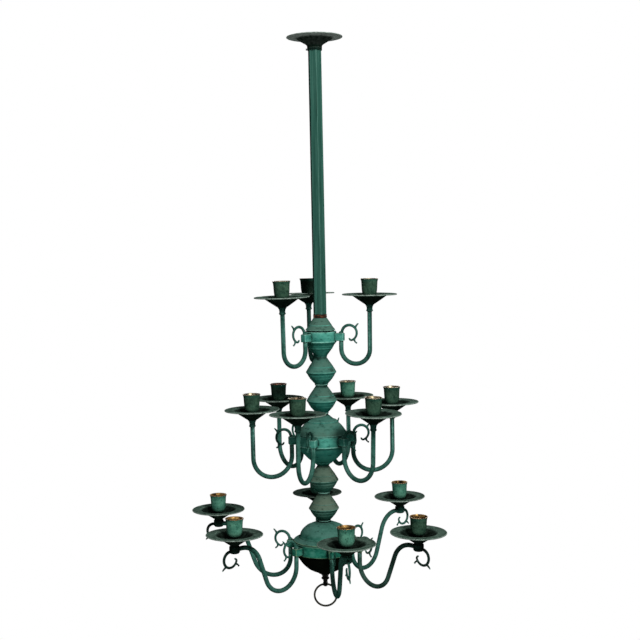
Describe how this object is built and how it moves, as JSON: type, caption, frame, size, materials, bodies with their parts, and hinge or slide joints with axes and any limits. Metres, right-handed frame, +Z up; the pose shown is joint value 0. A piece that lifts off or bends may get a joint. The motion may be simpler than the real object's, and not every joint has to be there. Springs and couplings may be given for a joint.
{
  "type": "candle chandelier",
  "caption": "Hanging candle chandelier: turned column on a hexagonal tube, with tiers of curved swivelling arms that carry drip pans and candle cups, and a pull ring below.",
  "frame": {"origin": "centre of the canopy's rim, in the plane of the ceiling, on the column's axis", "axes": "+Z up along the column; -Y towards the viewer of the picture; +X to the viewer's right"},
  "size_m": [0.4775, 0.5312, 1.0689],
  "materials": {
    "verdigris": "green painted patina over brass, satin, rubbed at the edges",
    "dark_verdigris": "dark green patina, matte, with grey bloom on top faces",
    "cup_verdigris": "green patina outside, bare yellow brass inside and on the worn lip",
    "bare_copper": "brown, where the patina is rubbed off",
    "dark_bronze": "blackened, satin",
    "steel": "plain steel"
  },
  "bodies": {
    "column": {"stem_tube": "verdigris", "tension_rod": "steel", "hanging_loop": "steel", "neck_ring": "bare_copper", "upper_hub": "verdigris", "middle_hub": "verdigris", "lower_hub": "verdigris", "baluster_1": "verdigris", "baluster_2": "verdigris", "baluster_3": "verdigris", "baluster_4": "verdigris", "finial": "dark_bronze"},
    "canopy": {"canopy": "dark_verdigris", "canopy_collar": "dark_verdigris"},
    "pull_ring": {"pull_ring": "dark_bronze"},
    "upper_arm_1": {"upper_arm_1": "verdigris", "upper_pan_1": "dark_verdigris", "upper_cup_1": "cup_verdigris"},
    "upper_arm_2": {"upper_arm_2": "verdigris", "upper_pan_2": "dark_verdigris", "upper_cup_2": "cup_verdigris"},
    "upper_arm_3": {"upper_arm_3": "verdigris", "upper_pan_3": "dark_verdigris", "upper_cup_3": "cup_verdigris"},
    "middle_arm_1": {"middle_arm_1": "verdigris", "middle_pan_1": "dark_verdigris", "middle_cup_1": "cup_verdigris"},
    "middle_arm_2": {"middle_arm_2": "verdigris", "middle_pan_2": "dark_verdigris", "middle_cup_2": "cup_verdigris"},
    "middle_arm_3": {"middle_arm_3": "verdigris", "middle_pan_3": "dark_verdigris", "middle_cup_3": "cup_verdigris"},
    "middle_arm_4": {"middle_arm_4": "verdigris", "middle_pan_4": "dark_verdigris", "middle_cup_4": "cup_verdigris"},
    "middle_arm_5": {"middle_arm_5": "verdigris", "middle_pan_5": "dark_verdigris", "middle_cup_5": "cup_verdigris"},
    "middle_arm_6": {"middle_arm_6": "verdigris", "middle_pan_6": "dark_verdigris", "middle_cup_6": "cup_verdigris"},
    "lower_arm_1": {"lower_arm_1": "verdigris", "lower_pan_1": "dark_verdigris", "lower_cup_1": "cup_verdigris"},
    "lower_arm_2": {"lower_arm_2": "verdigris", "lower_pan_2": "dark_verdigris", "lower_cup_2": "cup_verdigris"},
    "lower_arm_3": {"lower_arm_3": "verdigris", "lower_pan_3": "dark_verdigris", "lower_cup_3": "cup_verdigris"},
    "lower_arm_4": {"lower_arm_4": "verdigris", "lower_pan_4": "dark_verdigris", "lower_cup_4": "cup_verdigris"},
    "lower_arm_5": {"lower_arm_5": "verdigris", "lower_pan_5": "dark_verdigris", "lower_cup_5": "cup_verdigris"},
    "lower_arm_6": {"lower_arm_6": "verdigris", "lower_pan_6": "dark_verdigris", "lower_cup_6": "cup_verdigris"}
  },
  "joints": [
    {"name": "canopy_slide", "type": "slide", "parent": "column", "child": "canopy", "axis": [0, 0, 1], "range_m": [-0.08, 0]},
    {"name": "pull_ring_swing", "type": "hinge", "parent": "column", "child": "pull_ring", "pos_m": [0, 0, -1.02481], "axis": [1, 0, 0], "range_deg": [-80, 80]},
    {"name": "upper_arm_1_swivel", "type": "hinge", "parent": "column", "child": "upper_arm_1", "pos_m": [0.0387, -0.01051, -0.55418], "axis": [0, 0, 1], "range_deg": [-36.6, 43.4]},
    {"name": "upper_arm_2_swivel", "type": "hinge", "parent": "column", "child": "upper_arm_2", "pos_m": [-0.01024, 0.03877, -0.55418], "axis": [0, 0, 1], "range_deg": [-37.3, 42.7]},
    {"name": "upper_arm_3_swivel", "type": "hinge", "parent": "column", "child": "upper_arm_3", "pos_m": [-0.02845, -0.02826, -0.55418], "axis": [0, 0, 1], "range_deg": [-41, 39]},
    {"name": "middle_arm_1_swivel", "type": "hinge", "parent": "column", "child": "middle_arm_1", "pos_m": [-0.01751, -0.05655, -0.74673], "axis": [0, 0, 1], "range_deg": [-10.2, 14.8]},
    {"name": "middle_arm_2_swivel", "type": "hinge", "parent": "column", "child": "middle_arm_2", "pos_m": [0.04022, -0.04344, -0.74673], "axis": [0, 0, 1], "range_deg": [-11.4, 13.6]},
    {"name": "middle_arm_3_swivel", "type": "hinge", "parent": "column", "child": "middle_arm_3", "pos_m": [0.05773, 0.01312, -0.74673], "axis": [0, 0, 1], "range_deg": [-10.2, 14.8]},
    {"name": "middle_arm_4_swivel", "type": "hinge", "parent": "column", "child": "middle_arm_4", "pos_m": [0.01751, 0.05655, -0.74673], "axis": [0, 0, 1], "range_deg": [-3.2, 21.8]},
    {"name": "middle_arm_5_swivel", "type": "hinge", "parent": "column", "child": "middle_arm_5", "pos_m": [-0.04022, 0.04344, -0.74673], "axis": [0, 0, 1], "range_deg": [-5.8, 19.2]},
    {"name": "middle_arm_6_swivel", "type": "hinge", "parent": "column", "child": "middle_arm_6", "pos_m": [-0.05773, -0.01312, -0.74673], "axis": [0, 0, 1], "range_deg": [-22.1, 2.9]},
    {"name": "lower_arm_1_swivel", "type": "hinge", "parent": "column", "child": "lower_arm_1", "pos_m": [0.01302, -0.06827, -0.95065], "axis": [0, 0, 1], "range_deg": [-21.1, 15.9]},
    {"name": "lower_arm_2_swivel", "type": "hinge", "parent": "column", "child": "lower_arm_2", "pos_m": [0.06563, -0.02286, -0.95065], "axis": [0, 0, 1], "range_deg": [-3.1, 48.9]},
    {"name": "lower_arm_3_swivel", "type": "hinge", "parent": "column", "child": "lower_arm_3", "pos_m": [0.05261, 0.04541, -0.95065], "axis": [0, 0, 1], "range_deg": [-28, 16]},
    {"name": "lower_arm_4_swivel", "type": "hinge", "parent": "column", "child": "lower_arm_4", "pos_m": [-0.01302, 0.06827, -0.95065], "axis": [0, 0, 1], "range_deg": [-11.7, 32.3]},
    {"name": "lower_arm_5_swivel", "type": "hinge", "parent": "column", "child": "lower_arm_5", "pos_m": [-0.06563, 0.02286, -0.95065], "axis": [0, 0, 1], "range_deg": [-24.7, 19.3]},
    {"name": "lower_arm_6_swivel", "type": "hinge", "parent": "column", "child": "lower_arm_6", "pos_m": [-0.05261, -0.04541, -0.95065], "axis": [0, 0, 1], "range_deg": [-24.4, 19.6]}
  ]
}
